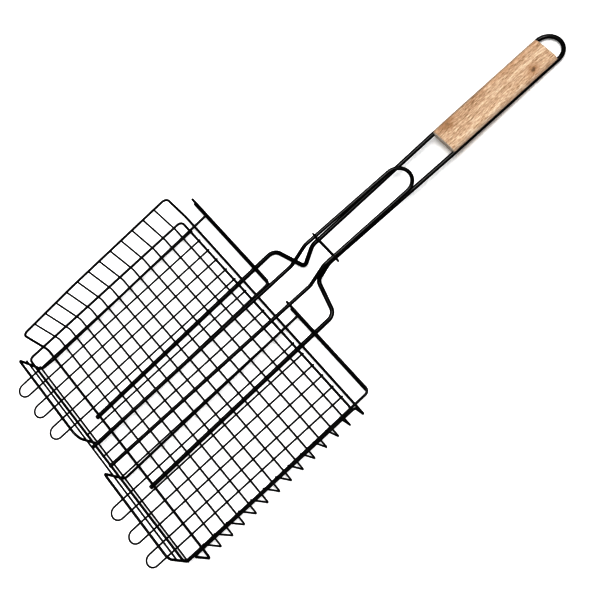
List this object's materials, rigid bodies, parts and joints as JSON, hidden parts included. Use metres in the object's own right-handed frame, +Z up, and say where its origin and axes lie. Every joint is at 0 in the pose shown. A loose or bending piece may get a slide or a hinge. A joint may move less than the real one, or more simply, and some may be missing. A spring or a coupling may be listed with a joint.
{
  "type": "grill basket",
  "caption": "Hinged wire grilling basket: shallow tray with a flat grid lid, two long wire handles locked by a sliding ring, and a wooden grip with a hanging loop.",
  "frame": {"origin": "on the resting plane, below the middle of the basket floor (midway between the outer cross wires)", "axes": "+Z up, +Y along the long handle towards the grip, X across the basket"},
  "size_m": [0.3244, 0.675, 0.0572],
  "materials": {
    "black_wire": "satin black coating over drawn steel wire",
    "grip_wood": "light, lightly oiled wood with lengthwise grain"
  },
  "bodies": {
    "basket": {"basket_frame": "black_wire", "cross_wire_01": "black_wire", "cross_wire_02": "black_wire", "cross_wire_03": "black_wire", "cross_wire_04": "black_wire", "cross_wire_05": "black_wire", "cross_wire_06": "black_wire", "cross_wire_07": "black_wire", "cross_wire_08": "black_wire", "cross_wire_09": "black_wire", "cross_wire_10": "black_wire", "cross_wire_11": "black_wire", "cross_wire_12": "black_wire", "front_loop_left": "black_wire", "front_loop_right": "black_wire", "rear_bar_left": "black_wire", "rear_bar_right": "black_wire", "front_wire_lower": "black_wire", "front_wire_upper": "black_wire", "long_handle": "black_wire", "wooden_grip": "grip_wood"},
    "lid": {"lid_frame": "black_wire", "finger_loop_1": "black_wire", "finger_loop_2": "black_wire", "finger_loop_3": "black_wire", "finger_loop_4": "black_wire", "finger_loop_5": "black_wire", "finger_loop_6": "black_wire", "lid_wire_left": "black_wire", "lid_wire_centre": "black_wire", "lid_wire_right": "black_wire", "lid_handle": "black_wire"},
    "ring": {"lock_ring": "black_wire"}
  },
  "joints": [
    {"name": "lid_hinge", "type": "hinge", "parent": "basket", "child": "lid", "pos_m": [0, -0.12184, 0.02891], "axis": [1, 0, 0], "range_deg": [0, 56]},
    {"name": "ring_slide", "type": "slide", "parent": "basket", "child": "ring", "axis": [0, 0.9985, -0.0546], "range_m": [0, 0.155]}
  ]
}
